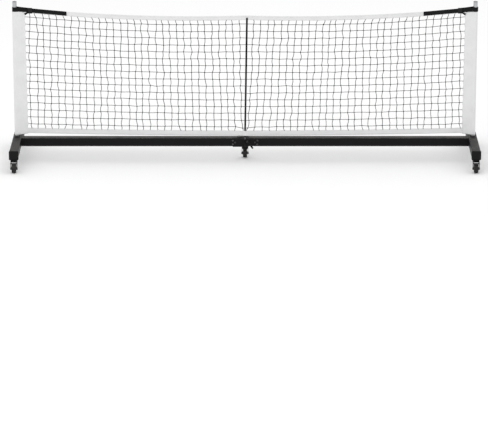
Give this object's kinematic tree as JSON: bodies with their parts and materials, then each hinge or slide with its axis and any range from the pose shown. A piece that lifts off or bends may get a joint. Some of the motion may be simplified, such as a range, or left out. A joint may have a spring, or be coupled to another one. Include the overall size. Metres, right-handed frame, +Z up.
{
  "type": "pickleball portable net",
  "caption": "Freestanding pickleball net with white-taped knotted mesh on a black square-tube base that rolls on swivel casters and folds in half at its centre.",
  "frame": {"origin": "on the floor, midway between the two posts and midway between the front and rear casters", "axes": "+X along the net towards the half that folds, +Y from the front face to the back, +Z up"},
  "size_m": [2.725, 0.644, 0.948],
  "materials": {
    "powder_coat": "satin black powder coat on steel",
    "black_plastic": "fine-grained moulded black plastic",
    "post_steel": "drawn steel tube with a dull zinc finish",
    "zinc_steel": "dark zinc-plated fasteners",
    "wheel_rubber": "matt black rubber tread",
    "white_tape": "white vinyl-coated woven polyester tape with sewn edges",
    "black_webbing": "black ribbed polypropylene webbing",
    "net_twine": "black braided knotted twine"
  },
  "bodies": {
    "left_half": {"left_base_bar": "powder_coat", "left_leg": "powder_coat", "left_leg_caps": "black_plastic", "left_corner_bracket": "powder_coat", "left_post_collar": "black_plastic", "left_post": "post_steel", "left_post_cap": "black_plastic", "left_bolts": "zinc_steel", "hinge_leaf_left": "powder_coat", "left_caster_stems": "zinc_steel", "net_panel_left": "net_twine", "top_tape_left": "white_tape", "bottom_tape_left": "white_tape", "side_tape_left": "white_tape", "tension_strap_left": "black_webbing", "strap_buckle_left": "black_plastic", "hinge_pin": "zinc_steel", "centre_rod_foot": "powder_coat", "centre_rod": "powder_coat", "rod_pocket": "white_tape", "centre_caster_plate": "powder_coat"},
    "right_half": {"right_base_bar": "powder_coat", "right_leg": "powder_coat", "right_leg_caps": "black_plastic", "right_corner_bracket": "powder_coat", "right_post_collar": "black_plastic", "right_post": "post_steel", "right_post_cap": "black_plastic", "right_bolts": "zinc_steel", "hinge_leaf_right": "powder_coat", "right_caster_stems": "zinc_steel", "net_panel_right": "net_twine", "top_tape_right": "white_tape", "bottom_tape_right": "white_tape", "side_tape_right": "white_tape", "tension_strap_right": "black_webbing", "strap_buckle_right": "black_plastic", "lever_pivot": "zinc_steel"},
    "lock_lever": {"lock_lever": "powder_coat"},
    "front_left_fork": {"front_left_fork": "powder_coat", "front_left_axle": "zinc_steel"},
    "front_left_wheel": {"front_left_wheel": "wheel_rubber"},
    "front_left_brake": {"front_left_brake_pedal": "black_plastic"},
    "rear_left_fork": {"rear_left_fork": "powder_coat", "rear_left_axle": "zinc_steel"},
    "rear_left_wheel": {"rear_left_wheel": "wheel_rubber"},
    "rear_left_brake": {"rear_left_brake_pedal": "black_plastic"},
    "centre_fork": {"centre_fork": "powder_coat", "centre_axle": "zinc_steel"},
    "centre_wheel": {"centre_wheel": "wheel_rubber"},
    "front_right_fork": {"front_right_fork": "powder_coat", "front_right_axle": "zinc_steel"},
    "front_right_wheel": {"front_right_wheel": "wheel_rubber"},
    "front_right_brake": {"front_right_brake_pedal": "black_plastic"},
    "rear_right_fork": {"rear_right_fork": "powder_coat", "rear_right_axle": "zinc_steel"},
    "rear_right_wheel": {"rear_right_wheel": "wheel_rubber"},
    "rear_right_brake": {"rear_right_brake_pedal": "black_plastic"}
  },
  "joints": [
    {"name": "base_fold", "type": "hinge", "parent": "left_half", "child": "right_half", "pos_m": [0, -0.0305, 0.105], "axis": [0, 0, -1], "range_deg": [0, 135]},
    {"name": "lock_lever_turn", "type": "hinge", "parent": "right_half", "child": "lock_lever", "pos_m": [0.014, -0.0355, 0.112], "axis": [0, -1, 0], "range_deg": [0, 100]},
    {"name": "front_left_swivel", "type": "hinge", "parent": "left_half", "child": "front_left_fork", "pos_m": [-1.335, -0.271, 0.068], "axis": [0, 0, 1], "continuous": true},
    {"name": "front_left_roll", "type": "hinge", "parent": "front_left_fork", "child": "front_left_wheel", "pos_m": [-1.335, -0.293, 0.026], "axis": [1, 0, 0], "continuous": true},
    {"name": "front_left_brake_press", "type": "hinge", "parent": "front_left_fork", "child": "front_left_brake", "pos_m": [-1.335, -0.295, 0.0572], "axis": [1, 0, 0], "range_deg": [0, 20]},
    {"name": "rear_left_swivel", "type": "hinge", "parent": "left_half", "child": "rear_left_fork", "pos_m": [-1.335, 0.271, 0.068], "axis": [0, 0, 1], "continuous": true},
    {"name": "rear_left_roll", "type": "hinge", "parent": "rear_left_fork", "child": "rear_left_wheel", "pos_m": [-1.335, 0.293, 0.026], "axis": [1, 0, 0], "continuous": true},
    {"name": "rear_left_brake_press", "type": "hinge", "parent": "rear_left_fork", "child": "rear_left_brake", "pos_m": [-1.335, 0.295, 0.0572], "axis": [-1, 0, 0], "range_deg": [0, 20]},
    {"name": "centre_swivel", "type": "hinge", "parent": "left_half", "child": "centre_fork", "pos_m": [0, 0, 0.068], "axis": [0, 0, 1], "continuous": true},
    {"name": "centre_roll", "type": "hinge", "parent": "centre_fork", "child": "centre_wheel", "pos_m": [0, 0.022, 0.026], "axis": [1, 0, 0], "continuous": true},
    {"name": "front_right_swivel", "type": "hinge", "parent": "right_half", "child": "front_right_fork", "pos_m": [1.335, -0.271, 0.068], "axis": [0, 0, 1], "continuous": true},
    {"name": "front_right_roll", "type": "hinge", "parent": "front_right_fork", "child": "front_right_wheel", "pos_m": [1.335, -0.293, 0.026], "axis": [1, 0, 0], "continuous": true},
    {"name": "front_right_brake_press", "type": "hinge", "parent": "front_right_fork", "child": "front_right_brake", "pos_m": [1.335, -0.295, 0.0572], "axis": [1, 0, 0], "range_deg": [0, 20]},
    {"name": "rear_right_swivel", "type": "hinge", "parent": "right_half", "child": "rear_right_fork", "pos_m": [1.335, 0.271, 0.068], "axis": [0, 0, 1], "continuous": true},
    {"name": "rear_right_roll", "type": "hinge", "parent": "rear_right_fork", "child": "rear_right_wheel", "pos_m": [1.335, 0.293, 0.026], "axis": [1, 0, 0], "continuous": true},
    {"name": "rear_right_brake_press", "type": "hinge", "parent": "rear_right_fork", "child": "rear_right_brake", "pos_m": [1.335, 0.295, 0.0572], "axis": [-1, 0, 0], "range_deg": [0, 20]}
  ]
}
